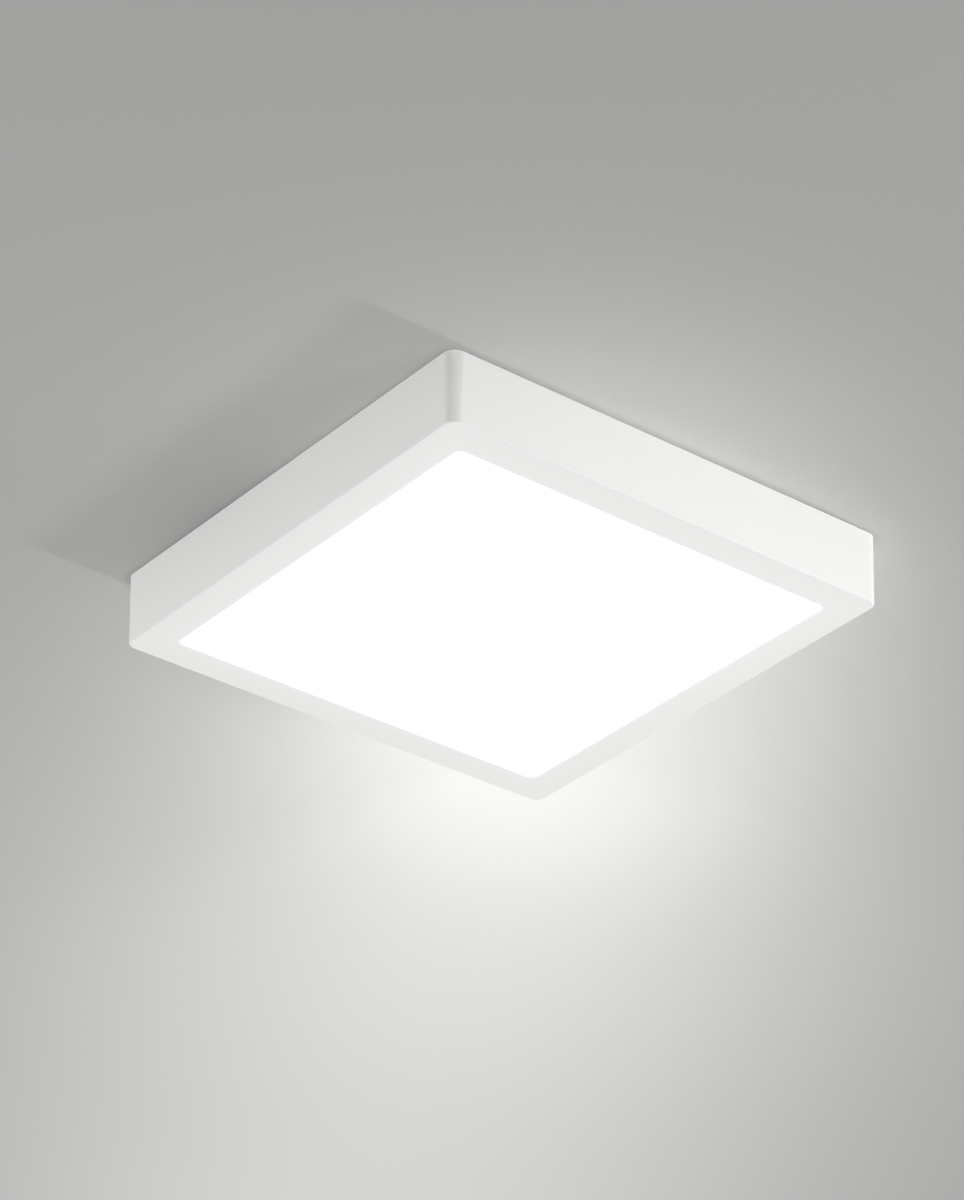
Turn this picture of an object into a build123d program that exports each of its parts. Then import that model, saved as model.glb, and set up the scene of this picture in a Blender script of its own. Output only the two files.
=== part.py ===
"""Square outdoor LED ceiling light.

A drawn pan is screwed to the ceiling and carries the LED boards, the driver and the lever terminal.
A die-cast frame with an opal dish in its window is pushed up over the pan and snaps onto four catches.
Millimetres, +Z up. The origin is the middle of the ceiling plane, and the light hangs below it.
"""
from build123d import *
import os
from math import atan, cos, radians, sqrt, tan

# Cover frame
COVER_WIDTH = 300.0          # across the flats, at the ceiling rim
COVER_DEPTH = 44.0           # ceiling to underside
COVER_DRAFT = 1.5            # degrees, the casting narrows downwards
COVER_CORNER = 6.5           # upright corners, at the underside
COVER_EDGE = 1.0             # round between the sides and the underside
COVER_WALL = 2.6
RIM_GAP = 0.4                # between the frame and the ceiling
BORDER = 22.0                # underside, from the outer face to the window
WINDOW_CORNER = 3.5
WINDOW_EDGE = 0.6            # chamfer along the window's lower edge
LIP = 2.5
GUSSET_RISE = 16.0
GUSSET_REACH = 6.5
GUSSET_THICKNESS = 2.0
GUSSET_SHARES = (-0.65, -0.22, 0.22, 0.65)   # along each side, as shares of its half

# Diffuser dish
PANE = 2.2
PANE_RECESS = 0.4            # pane behind the frame's underside
PANE_GAP = 0.3               # around the pane, in the window
FLANGE_REACH = 8.0           # beyond the window
FLANGE_THICKNESS = 2.0
FLANGE_CORNER = 10.0
DISH_GASKET = 1.0            # thickness
DISH_GASKET_WIDTH = 5.0

# Clips that hold the dish in the frame, one in each corner
DISH_CLIP_THICKNESS = 1.0
DISH_CLIP_WIDTH = 14.0
DISH_CLIP_BITE = 2.5         # overlap on the corner of the dish's flange
DISH_CLIP_TAIL = 3.5         # from the screw outwards
BOSS_SIZE = 7.0
BOSS_GAP = 1.5               # between the flange and the boss

# Leaf springs that hold the cover on the pan
SPRING_THICKNESS = 0.6
SPRING_WIDTH = 16.0
SPRING_FOOT = 7.0
SPRING_BEND = 1.2
SPRING_OFFSET = 7.6          # leaf's middle line, from the pan's wall
SPRING_TIP_GAP = 0.6         # between the spring's tip and the pan's wall
SPRING_PAD = 2.0             # height of the pad under the foot
SPRING_PAD_WIDTH = 20.0
CATCH_THICKNESS = 2.0
CATCH_HEIGHT = 5.0
CATCH_LENGTH = 20.0
CATCH_RISE = 8.0             # above the pan's rim
LATCH_GAP = 0.3              # between the spring's flank and the catch's edge
FLANK_DROP = 7.5             # from the spring's tip down to its straight leaf

# Pan
PAN_REACH = 4.0              # pan's wall, beyond the window
PAN_SHEET = 1.2
PAN_CORNER = 14.0
PAN_BEND = 2.5               # slope between the back and the walls
CEILING_GASKET = 3.0         # thickness
CEILING_GASKET_WIDTH = 10.0
CEILING_GASKET_INSET = 4.0
SEAL_LEG = 1.3               # rim seal on each face of the pan's wall
SEAL_BED = 1.5               # rim seal under the pan's rim
SEAL_HEIGHT = 4.5
SEAL_GAP = 0.3               # between the rim seal and the dish's flange
MOUNT_INSET = 23.0           # fixing holes, from the pan's wall
MOUNT_BORE = 2.5             # radius
PAD_SIZE = 14.0
PAD_THICKNESS = 2.0
CABLE_BORE = 4.5             # radius
GROMMET_NECK = 7.5           # radius
GROMMET_FLANGE = 22.0        # across the square flange
GROMMET_FLANGE_THICKNESS = 3.0

# LED boards, set as a pinwheel square
BOARD_INSET = 32.5           # from the pan's inner wall
BOARD_WIDTH = 22.0
BOARD_THICKNESS = 1.6
BOARD_GAP = 0.6              # between neighbouring boards
LED_COUNT = 10               # on each board
LED_MARGIN = 12.0            # from the board's end
LED_LENGTH = 3.5
LED_WIDTH = 2.8
LED_HEIGHT = 0.8
BOARD_SCREW_MARGIN = 36.0    # from the board's end
BOARD_SCREW_OFFSET = 6.0     # from the row of LEDs
LINK_LENGTH = 12.0
LINK_WIDTH = 7.0
LINK_HEIGHT = 3.6
LINK_INSET = 6.0             # middle of a link, from the boards' outer edge
PLUG_LENGTH = 12.0
PLUG_WIDTH = 5.0
PLUG_HEIGHT = 5.0

# Driver
DRIVER_LENGTH = 84.0
DRIVER_WIDTH = 36.0
DRIVER_HEIGHT = 20.0
DRIVER_FLOOR = 1.5
DRIVER_EAR = 8.0
DRIVER_SCREW_OFFSET = 11.0   # from the driver's middle line
DRIVER_CORNER = 3.0
DRIVER_CREST = 1.5
DRIVER_PORTS = 9.0           # pitch of the two input wires

# Lever terminal
POLE_PITCH = 8.0
TERMINAL_WALL = 2.0
TERMINAL_DEPTH = 24.0
TERMINAL_HEIGHT = 15.0
TERMINAL_EAR = 7.0
TERMINAL_EAR_THICKNESS = 3.0
FACTORY_ROOM = 23.0          # from the terminal's factory side to the south board
LEVER_WIDTH = 6.4
LEVER_THICKNESS = 2.2
LEVER_BARREL = 2.2           # radius
LEVER_SIDE_GAP = 0.2
LEVER_REST_GAP = 0.2
LEVER_OVERHANG = 0.6
PIVOT_SETBACK = 4.0          # from the factory side
TRUNNION = 0.9               # radius
TRUNNION_LENGTH = 0.5
TRUNNION_FIT = 0.05
ENTRY_SIZE = 5.0
ENTRY_DEPTH = 9.0
ENTRY_END = 2.8              # width and height at the clamp
CLAMP_ROOM = 4.6             # width and height
CLAMP_LENGTH = 9.0
CONTACT_THICKNESS = 0.8
CONTACT_MARGIN = 0.2

# Wires and earth tab
WIRE = 1.1                   # radius
WIRE_HEIGHT = 6.0            # above the pan's floor
LEAD_THICKNESS = 1.8         # flat twin lead, on edge
LEAD_WIDTH = 3.8
WIRE_FIT = 0.2               # around a wire in its hole
WIRE_SOCKET = 5.0            # length of a wire's end in its hole
WIRE_BEND = 9.0
LANE_INSET = 5.0             # outer lane, from the boards' inner edge
LANE_PITCH = 4.5
LEAD_REACH = 12.0            # from the driver's end to the middle of the lead's connector
WIRE_CLIP_LENGTH = 6.0
WIRE_CLIP_WALL = 2.0
EARTH_OFFSET = 44.0          # earth tab, from the terminal's middle
TAB_WIDTH = 6.3
TAB_THICKNESS = 0.8
TAB_FOOT = 8.0
TAB_LENGTH = 9.0
SLEEVE_GAP = 1.0             # between the tab's riser and the receptacle
SLEEVE_LENGTH = 8.0
SLEEVE_WALL = 0.8
SLEEVE_FIT = 0.1             # around the tab
CRIMP_SIZE = 3.6

# Screws
SCREW = 1.5                  # radius
SCREW_HEAD = 2.8             # radius
SCREW_HEAD_HEIGHT = 1.8
SCREW_FIT = 0.1              # around a screw in its hole
SCREW_TAIL = 1.5             # beyond the pan's sheet
BOSS_SCREW = 1.25            # radius
BOSS_SCREW_LENGTH = 3.5

# Levels, from the underside up to the ceiling
taper_per_mm = tan(radians(COVER_DRAFT))
cover_height = COVER_DEPTH - RIM_GAP
z_underside = -COVER_DEPTH
z_lip = z_underside + LIP
z_flange = z_lip + DISH_GASKET
z_flange_top = z_flange + FLANGE_THICKNESS
z_seal = z_flange_top + SEAL_GAP
z_rim = z_seal + SEAL_BED
z_catch = z_rim + CATCH_RISE
z_back = -CEILING_GASKET
z_floor = z_back - PAN_SHEET

# Plan sizes
underside_width = COVER_WIDTH - 2 * cover_height * taper_per_mm
window_width = underside_width - 2 * BORDER
flange_width = window_width + 2 * FLANGE_REACH
pan_width = window_width + 2 * PAN_REACH
pan_half = pan_width / 2
lip_half = underside_width / 2 + LIP * taper_per_mm - COVER_WALL
flange_diagonal = (flange_width / 2 - FLANGE_CORNER) * sqrt(2) + FLANGE_CORNER
boss_x = flange_diagonal + BOSS_GAP + BOSS_SIZE / 2
mount_half = round(pan_half - MOUNT_INSET)

# The pinwheel: each board runs from one corner of the square up to the side of the next board.
ring_outer = pan_half - PAN_SHEET - BOARD_INSET
ring_inner = ring_outer - BOARD_WIDTH
board_length = ring_outer + ring_inner - BOARD_GAP
board_shift = (ring_outer - ring_inner + BOARD_GAP) / 2
led_pitch = (board_length - 2 * LED_MARGIN) / (LED_COUNT - 1)
led_places = [(index - (LED_COUNT - 1) / 2) * led_pitch for index in range(LED_COUNT)]
board_screw_x = board_length / 2 - BOARD_SCREW_MARGIN
board_screw_places = [(x, -BOARD_SCREW_OFFSET) for x in (-board_screw_x, board_screw_x)]

# Driver and terminal, on both sides of the cable entry
driver_y = (GROMMET_FLANGE / 2 + ring_inner) / 2
driver_screw_x = DRIVER_LENGTH / 2 + DRIVER_EAR / 2
driver_screw_places = ((-driver_screw_x, DRIVER_SCREW_OFFSET), (driver_screw_x, -DRIVER_SCREW_OFFSET))
lead_height = BOARD_THICKNESS + PLUG_HEIGHT / 2
factory_y = -round(ring_inner - FACTORY_ROOM)
terminal_y = factory_y + TERMINAL_DEPTH / 2
terminal_width = 3 * POLE_PITCH + 2 * TERMINAL_WALL
terminal_screw_x = terminal_width / 2 + TERMINAL_EAR / 2
poles = (-POLE_PITCH, 0.0, POLE_PITCH)
pivot_y = TERMINAL_DEPTH / 2 - PIVOT_SETBACK
pivot_z = TERMINAL_HEIGHT - LEVER_THICKNESS
earth_y = LANE_PITCH + LANE_INSET - ring_inner
gusset_places = [share * lip_half for share in GUSSET_SHARES]

SIDES = ("north", "west", "south", "east")


def square(width, corner, z):
    """Rounded square at a level."""
    return Pos(0, 0, z) * RectangleRounded(width, width, corner)


def slab(width, corner, z_low, z_high):
    """Upright rounded square block."""
    return extrude(square(width, corner, z_low), z_high - z_low)


def rod(radius, length, z_low=0.0):
    """Upright cylinder that starts at a level."""
    return Pos(0, 0, z_low) * Cylinder(radius, length, align=(Align.CENTER, Align.CENTER, Align.MIN))


def plate(x_size, y_size, z_size, z_low=0.0):
    """Upright box that starts at a level."""
    return Pos(0, 0, z_low) * Box(x_size, y_size, z_size, align=(Align.CENTER, Align.CENTER, Align.MIN))


def around(piece, start=0.0):
    """The piece on each of the four sides, or in the four corners if it starts at 45 degrees."""
    return [Rot(0, 0, start + 90 * quarter) * piece for quarter in range(4)]


def on_floor(x, y):
    """Seat on the pan's floor, with the piece's own +Z pointing down into the light."""
    return Pos(x, y, z_floor) * Rot(180, 0, 0)


def prism(radius, length, z_low=0.0):
    """Upright eight-sided prism, the plain form of a small fastener, a thin wire's socket or a screw hole."""
    return Pos(0, 0, z_low) * extrude(RegularPolygon(radius, 8), length)


def screw(radius, length):
    """Plain screw: the head stands on z = 0 and the shank goes down from it."""
    return prism(SCREW_HEAD, SCREW_HEAD_HEIGHT) + prism(radius, length, -length)


# Cover

def cover_frame():
    """Die-cast frame: drafted shell, lip round the window, bosses, spring pads and gussets inside."""
    shell = extrude(square(underside_width, COVER_CORNER, z_underside), cover_height, taper=-COVER_DRAFT)
    shell = fillet(shell.faces().sort_by(Axis.Z)[0].edges(), COVER_EDGE)
    hollow = square(2 * lip_half, COVER_CORNER - COVER_WALL, z_lip)
    shell -= extrude(hollow, COVER_DEPTH - LIP, taper=-COVER_DRAFT)
    shell -= slab(window_width, WINDOW_CORNER, z_underside, z_lip)
    shell = chamfer(window_edges(shell), WINDOW_EDGE)

    boss = Pos(boss_x, 0, 0) * plate(BOSS_SIZE, BOSS_SIZE, z_flange_top - z_lip, z_lip)
    boss_hole = Pos(boss_x, 0, 0) * prism(BOSS_SCREW, BOSS_SCREW_LENGTH, z_flange_top - BOSS_SCREW_LENGTH)
    pad_depth = lip_half - pad_start()
    pad = Pos(pad_start() + pad_depth / 2, 0, 0) * plate(pad_depth, SPRING_PAD_WIDTH, SPRING_PAD, z_lip)
    gusset = Plane.XZ * make_face(
        Polyline(
            (lip_half + COVER_WALL / 2, z_lip),
            (lip_half - GUSSET_REACH, z_lip),
            (lip_half + COVER_WALL / 2, z_lip + GUSSET_RISE),
            close=True,
        )
    )
    gusset = extrude(gusset, GUSSET_THICKNESS / 2, both=True)
    shell += around(boss, 45)
    shell -= around(boss_hole, 45)
    for y in gusset_places:
        shell += around(Pos(0, y, 0) * gusset)
    shell += around(pad)
    return shell - around(Pos(rivet_x(), 0, 0) * prism(BOSS_SCREW, SPRING_PAD, z_lip))


def window_edges(shell):
    """Lower edges of the window in the frame's underside."""
    underside = shell.faces().sort_by(Axis.Z)[0]
    return underside.inner_wires()[0].edges()


def pad_start():
    """Inner end of a spring pad, along X."""
    return pan_half + SPRING_OFFSET - SPRING_THICKNESS / 2


def rivet_x():
    """Middle of a spring's foot, along X."""
    return pan_half + SPRING_OFFSET + SPRING_FOOT / 2


def diffuser():
    """Opal dish: the pane fills the window, and its flange lies on the frame's lip."""
    pane_width = window_width - 2 * PANE_GAP
    pane_corner = WINDOW_CORNER - PANE_GAP
    z_pane = z_underside + PANE_RECESS
    dish = slab(pane_width, pane_corner, z_pane, z_flange_top)
    dish += slab(flange_width, FLANGE_CORNER, z_flange, z_flange_top)
    dish -= slab(pane_width - 2 * PANE, pane_corner - PANE, z_pane + PANE, z_flange_top)
    return dish


def diffuser_gasket():
    """Flat ring between the frame's lip and the dish's flange."""
    outer = slab(flange_width, FLANGE_CORNER, z_lip, z_flange)
    inset = 2 * DISH_GASKET_WIDTH
    return outer - slab(flange_width - inset, FLANGE_CORNER - DISH_GASKET_WIDTH, z_lip, z_flange)


def diffuser_clips():
    """Flat clips on the corner bosses that press the dish's flange onto its gasket."""
    start = flange_diagonal - DISH_CLIP_BITE
    length = boss_x + DISH_CLIP_TAIL - start
    clip = Pos(start + length / 2, 0, 0) * plate(length, DISH_CLIP_WIDTH, DISH_CLIP_THICKNESS, z_flange_top)
    clip -= Pos(boss_x, 0, 0) * prism(BOSS_SCREW + SCREW_FIT, DISH_CLIP_THICKNESS, z_flange_top)
    return around(clip, 45)


def diffuser_clip_screws():
    """One screw through each clip into its boss."""
    z_head = z_flange_top + DISH_CLIP_THICKNESS
    one = Pos(boss_x, 0, z_head) * screw(BOSS_SCREW, DISH_CLIP_THICKNESS + BOSS_SCREW_LENGTH)
    return around(one, 45)


def spring_clips():
    """Bent leaf springs: a foot on the pad, an upright leaf, and a V that rests over the catch."""
    half = SPRING_THICKNESS / 2
    z_foot = z_lip + SPRING_PAD + half
    x_leaf = pan_half + SPRING_OFFSET
    x_tip = pan_half + SPRING_TIP_GAP + half
    slope = (x_leaf - x_tip) / FLANK_DROP
    x_flank = pan_half + CATCH_THICKNESS + LATCH_GAP + half / cos(atan(slope))
    z_tip = z_catch + CATCH_HEIGHT + (x_flank - x_tip) / slope
    path = FilletPolyline(
        (x_leaf + SPRING_FOOT, z_foot),
        (x_leaf, z_foot),
        (x_leaf, z_tip - FLANK_DROP),
        (x_tip, z_tip),
        (x_leaf, z_tip + FLANK_DROP),
        radius=SPRING_BEND,
    )
    leaf = extrude(Plane.XZ * trace(path, SPRING_THICKNESS), SPRING_WIDTH / 2, both=True)
    leaf -= Pos(rivet_x(), 0, 0) * prism(BOSS_SCREW + SCREW_FIT, SPRING_THICKNESS, z_foot - half)
    return around(leaf)


def spring_clip_rivets():
    """One rivet in each spring's foot."""
    z_head = z_lip + SPRING_PAD + SPRING_THICKNESS
    rivet = prism(2 * BOSS_SCREW, BOSS_SCREW, z_head) + prism(BOSS_SCREW, z_head - z_lip, z_lip)
    return around(Pos(rivet_x(), 0, 0) * rivet)


# Pan

def base_pan():
    """Drawn sheet pan, open downwards, with its fixing holes and the cable entry."""
    pan = slab(pan_width, PAN_CORNER, z_rim, z_back)
    pan = chamfer(pan.faces().sort_by(Axis.Z)[-1].edges(), PAN_BEND)
    pan = offset(pan, amount=-PAN_SHEET, openings=pan.faces().sort_by(Axis.Z)[0])
    holes = [rod(GROMMET_NECK, PAN_SHEET, z_floor)]
    holes += [Pos(x, y, 0) * rod(MOUNT_BORE, PAN_SHEET, z_floor) for x, y in mount_places()]
    screw_hole = prism(SCREW + SCREW_FIT, PAN_SHEET)
    holes += [Pos(x, y, z_floor) * screw_hole for x, y in floor_screw_places()]
    for side in range(4):
        holes += [board_place(side) * Pos(x, y, -PAN_SHEET) * screw_hole for x, y in board_screw_places]
    return pan - holes


def mount_places():
    """The four fixing holes."""
    return [(x, y) for x in (-mount_half, mount_half) for y in (-mount_half, mount_half)]


def floor_screw_places():
    """Screws of the driver and of the terminal in the pan's floor."""
    driver = [(x, driver_y - y) for x, y in driver_screw_places]
    terminal = [(-terminal_screw_x, terminal_y), (terminal_screw_x, terminal_y)]
    return driver + terminal


def ceiling_gasket():
    """Foam ring between the pan and the ceiling."""
    outer = pan_width - 2 * CEILING_GASKET_INSET
    corner = PAN_CORNER - CEILING_GASKET_INSET
    inner = outer - 2 * CEILING_GASKET_WIDTH
    ring = slab(outer, corner, z_back, 0)
    return ring - slab(inner, corner / 2, z_back, 0)


def rim_seal():
    """Rubber channel pushed over the pan's rim."""
    z_top = z_seal + SEAL_HEIGHT
    seal = slab(pan_width + 2 * SEAL_LEG, PAN_CORNER + SEAL_LEG, z_seal, z_top)
    inset = PAN_SHEET + SEAL_LEG
    seal -= slab(pan_width - 2 * inset, PAN_CORNER - inset, z_seal, z_top)
    wall = slab(pan_width, PAN_CORNER, z_rim, z_top)
    wall -= slab(pan_width - 2 * PAN_SHEET, PAN_CORNER - PAN_SHEET, z_rim, z_top)
    return seal - wall


def catch_plates():
    """Steel catches welded to the middle of each wall, with the lead-in on the lower edge."""
    catch = Plane.XZ * make_face(
        Polyline(
            (pan_half, z_catch),
            (pan_half + CATCH_THICKNESS / 2, z_catch),
            (pan_half + CATCH_THICKNESS, z_catch + CATCH_HEIGHT / 2),
            (pan_half + CATCH_THICKNESS, z_catch + CATCH_HEIGHT),
            (pan_half, z_catch + CATCH_HEIGHT),
            close=True,
        )
    )
    return around(extrude(catch, CATCH_LENGTH / 2, both=True))


def screw_seals():
    """Square rubber pads under the heads of the fixing screws."""
    pad = plate(PAD_SIZE, PAD_SIZE, PAD_THICKNESS) - rod(MOUNT_BORE, PAD_THICKNESS)
    return [on_floor(x, y) * pad for x, y in mount_places()]


def cable_grommet():
    """Rubber grommet in the middle of the pan: its neck fills the hole and its flange seals on the floor."""
    grommet = on_floor(0, 0) * plate(GROMMET_FLANGE, GROMMET_FLANGE, GROMMET_FLANGE_THICKNESS)
    grommet += rod(GROMMET_NECK, PAN_SHEET, z_floor)
    return grommet - rod(CABLE_BORE, PAN_SHEET + GROMMET_FLANGE_THICKNESS, z_floor - GROMMET_FLANGE_THICKNESS)


# LED boards

def board_place(side):
    """Middle of a board on the pan's floor, its length along its own X."""
    middle = (ring_outer + ring_inner) / 2
    return Rot(0, 0, 90 * side) * on_floor(-board_shift, middle)


def led_board():
    """Board with its two screw holes."""
    board = plate(board_length, BOARD_WIDTH, BOARD_THICKNESS)
    return board - [Pos(x, y, 0) * prism(SCREW + SCREW_FIT, BOARD_THICKNESS) for x, y in board_screw_places]


def led_chips():
    """LED packages along a board."""
    return [Pos(x, 0, BOARD_THICKNESS) * plate(LED_LENGTH, LED_WIDTH, LED_HEIGHT) for x in led_places]


def board_links():
    """Connectors over the seams between one board and the next."""
    seam = ring_inner - BOARD_GAP / 2
    link = on_floor(seam, ring_outer - LINK_INSET) * plate(LINK_LENGTH, LINK_WIDTH, LINK_HEIGHT, BOARD_THICKNESS)
    return [Rot(0, 0, -90 * side) * link for side in range(3)]


def led_plug():
    """Connector of the driver's lead, on the inner edge of the north board."""
    return on_floor(plug_x(), plug_y()) * plate(PLUG_LENGTH, PLUG_WIDTH, PLUG_HEIGHT, BOARD_THICKNESS)


def plug_x():
    """Middle of the lead's connector, along X."""
    return DRIVER_LENGTH / 2 + LEAD_REACH


def plug_y():
    """Middle of the lead's connector, along Y."""
    return ring_inner + PLUG_WIDTH / 2


def board_screws():
    """Two screws through each board into the pan."""
    one = Pos(0, 0, BOARD_THICKNESS) * screw(SCREW, BOARD_THICKNESS + PAN_SHEET + SCREW_TAIL)
    return [board_place(side) * Pos(x, y, 0) * one for side in range(4) for x, y in board_screw_places]


# Driver

def driver_base():
    """Floor of the driver's case, with an ear at each end."""
    base = plate(DRIVER_LENGTH + 2 * DRIVER_EAR, DRIVER_WIDTH, DRIVER_FLOOR)
    base = chamfer(base.edges().filter_by(Axis.Z), DRIVER_CORNER)
    base -= [Pos(x, y, 0) * prism(SCREW + SCREW_FIT, DRIVER_FLOOR) for x, y in driver_screw_places]
    return on_floor(0, driver_y) * base


def driver_lid():
    """Moulded lid of the driver's case, with sockets for the wires and the lead in its ends."""
    lid = plate(DRIVER_LENGTH, DRIVER_WIDTH, DRIVER_HEIGHT - DRIVER_FLOOR, DRIVER_FLOOR)
    lid = fillet(lid.edges().filter_by(Axis.Z), DRIVER_CORNER)
    lid = chamfer(lid.faces().sort_by(Axis.Z)[-1].edges(), DRIVER_CREST)
    socket = Rot(0, 90, 0) * prism(WIRE + WIRE_FIT, 2 * WIRE_SOCKET, -WIRE_SOCKET)
    for y in (-DRIVER_PORTS / 2, DRIVER_PORTS / 2):
        lid -= Pos(-DRIVER_LENGTH / 2, y, WIRE_HEIGHT) * socket
    slot = Box(2 * WIRE_SOCKET, LEAD_THICKNESS + 2 * WIRE_FIT, LEAD_WIDTH + 2 * WIRE_FIT)
    lid -= Pos(DRIVER_LENGTH / 2, 0, lead_height) * slot
    return on_floor(0, driver_y) * lid


def driver_screws():
    """One screw in each ear."""
    one = Pos(0, 0, DRIVER_FLOOR) * screw(SCREW, DRIVER_FLOOR + PAN_SHEET + SCREW_TAIL)
    return [on_floor(0, driver_y) * Pos(x, y, 0) * one for x, y in driver_screw_places]


# Lever terminal. In its own frame the supply side faces -Y and the levers lie on top.

def terminal_block():
    """Housing of three poles: lever channels, trunnion seats, supply entries and factory holes."""
    block = plate(terminal_width, TERMINAL_DEPTH, TERMINAL_HEIGHT)
    block = chamfer(block.edges().filter_by(Axis.Z), TERMINAL_WALL / 2)
    block += plate(terminal_width + 2 * TERMINAL_EAR, SCREW_HEAD * 2 + TERMINAL_WALL, TERMINAL_EAR_THICKNESS)
    ear_hole = prism(SCREW + SCREW_FIT, TERMINAL_EAR_THICKNESS)
    block -= [Pos(x, 0, 0) * ear_hole for x in (-terminal_screw_x, terminal_screw_x)]
    return on_floor(0, terminal_y) * (block - [Pos(x, 0, 0) * cut for x in poles for cut in pole_cuts()])


def pole_cuts():
    """Hollows of one pole."""
    channel_width = LEVER_WIDTH + 2 * LEVER_SIDE_GAP
    trough = LEVER_BARREL + LEVER_REST_GAP
    front = -TERMINAL_DEPTH / 2
    channel_length = pivot_y - front
    channel = Pos(0, front + channel_length / 2, 0) * plate(
        channel_width, channel_length, LEVER_THICKNESS + LEVER_REST_GAP, pivot_z - LEVER_REST_GAP
    )
    well = Pos(0, pivot_y, 0) * plate(channel_width, 2 * trough, LEVER_THICKNESS + trough, pivot_z - trough)
    seat_length = LEVER_WIDTH + 2 * (TRUNNION_LENGTH + TRUNNION_FIT)
    seat = prism((TRUNNION + TRUNNION_FIT) / cos(radians(22.5)), seat_length, -seat_length / 2)
    seat = Pos(0, pivot_y, pivot_z) * Rot(0, 90, 0) * seat
    outline = make_face(
        Polyline(
            (-ENTRY_SIZE / 2, 0),
            (ENTRY_SIZE / 2, 0),
            (ENTRY_END / 2, ENTRY_DEPTH),
            (-ENTRY_END / 2, ENTRY_DEPTH),
            close=True,
        )
    )
    level = extrude(outline, ENTRY_SIZE, both=True)
    entry = Pos(0, front, WIRE_HEIGHT) * (level & Rot(0, 90, 0) * level)
    room_y = front + ENTRY_DEPTH + CLAMP_LENGTH / 2
    room = Pos(0, room_y, WIRE_HEIGHT) * Box(CLAMP_ROOM, CLAMP_LENGTH, CLAMP_ROOM)
    factory = Rot(90, 0, 0) * prism(WIRE + WIRE_FIT, 2 * WIRE_SOCKET, -WIRE_SOCKET)
    factory = Pos(0, TERMINAL_DEPTH / 2, WIRE_HEIGHT) * factory
    return [channel, well, seat, entry, room, factory]


def terminal_contacts():
    """Copper strips on the floor of each clamp room."""
    room_y = -TERMINAL_DEPTH / 2 + ENTRY_DEPTH + CLAMP_LENGTH / 2
    z_low = WIRE_HEIGHT - CLAMP_ROOM / 2
    strip = plate(CLAMP_ROOM - 2 * CONTACT_MARGIN, CLAMP_LENGTH - 2 * CONTACT_MARGIN, CONTACT_THICKNESS, z_low)
    return [on_floor(0, terminal_y) * Pos(x, room_y, 0) * strip for x in poles]


def terminal_screws():
    """One screw in each ear."""
    length = TERMINAL_EAR_THICKNESS + PAN_SHEET + SCREW_TAIL
    one = Pos(0, 0, TERMINAL_EAR_THICKNESS) * screw(SCREW, length)
    return [on_floor(x, terminal_y) * one for x in (-terminal_screw_x, terminal_screw_x)]


def lever(x):
    """Clamping lever: barrel and trunnions at the pivot, a flat arm and a rounded fingertip."""
    front = -TERMINAL_DEPTH / 2 - LEVER_OVERHANG
    arm_length = pivot_y - front
    arm = Pos((front + pivot_y) / 2, pivot_z + LEVER_THICKNESS / 2) * Rectangle(arm_length, LEVER_THICKNESS)
    arm = chamfer(arm.vertices().sort_by(Axis.X)[:2], LEVER_THICKNESS / 3)
    profile = arm + Pos(pivot_y, pivot_z) * Circle(LEVER_BARREL)
    body = extrude(Plane.YZ * profile, LEVER_WIDTH / 2, both=True)
    trunnions = Cylinder(TRUNNION, LEVER_WIDTH + 2 * TRUNNION_LENGTH)
    body += Pos(0, pivot_y, pivot_z) * Rot(0, 90, 0) * trunnions
    return on_floor(0, terminal_y) * Pos(x, 0, 0) * body


# Earth connection. In its own frame the blade points to -X, and the foot is welded to the pan.

def earth_tab():
    """Blade on a bent foot, level with the wires."""
    foot_z = TAB_THICKNESS / 2
    bend = Polyline((TAB_FOOT, foot_z), (0, foot_z), (0, WIRE_HEIGHT), (-TAB_LENGTH, WIRE_HEIGHT))
    tab = extrude(Plane.XZ * trace(bend, TAB_THICKNESS), TAB_WIDTH / 2, both=True)
    return on_floor(EARTH_OFFSET, earth_y) * tab


def earth_receptacle():
    """Sleeve pushed over the blade, with a crimp for the earth wire behind it."""
    slot_width = TAB_WIDTH + 2 * SLEEVE_FIT
    slot_height = TAB_THICKNESS + 2 * SLEEVE_FIT
    sleeve = Box(SLEEVE_LENGTH, slot_width + 2 * SLEEVE_WALL, slot_height + 2 * SLEEVE_WALL)
    sleeve -= Box(SLEEVE_LENGTH, slot_width, slot_height)
    sleeve = Pos(-sleeve_start() - SLEEVE_LENGTH / 2, 0, WIRE_HEIGHT) * sleeve
    crimp_hole = Rot(0, 90, 0) * prism(WIRE + WIRE_FIT, WIRE_SOCKET, -WIRE_SOCKET / 2)
    crimp = Box(WIRE_SOCKET, CRIMP_SIZE, CRIMP_SIZE) - crimp_hole
    crimp = Pos(-crimp_end() + WIRE_SOCKET / 2, 0, WIRE_HEIGHT) * crimp
    return on_floor(EARTH_OFFSET, earth_y) * (sleeve + crimp)


def sleeve_start():
    """Near end of the sleeve along the blade."""
    return TAB_THICKNESS / 2 + SLEEVE_GAP


def crimp_end():
    """Far end of the crimp along the blade."""
    return sleeve_start() + SLEEVE_LENGTH + WIRE_SOCKET


# Wires. Each is clipped to the pan and runs level, in straight lanes joined by wide bends.

def wire(*route):
    """Insulated wire through (x, y) corners."""
    path = bent(route, WIRE_HEIGHT)
    return sweep(Plane(path @ 0, z_dir=path % 0) * RegularPolygon(WIRE, 6), path=path)


def bent(route, height):
    """Level path through (x, y) corners, at a height above the pan's floor."""
    return FilletPolyline(*[(x, y, z_floor - height) for x, y in route], radius=WIRE_BEND)


def driver_port(row):
    """Mouth of one of the driver's input sockets, with row -1 or 1 along Y."""
    return -DRIVER_LENGTH / 2, driver_y + row * DRIVER_PORTS / 2


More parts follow.
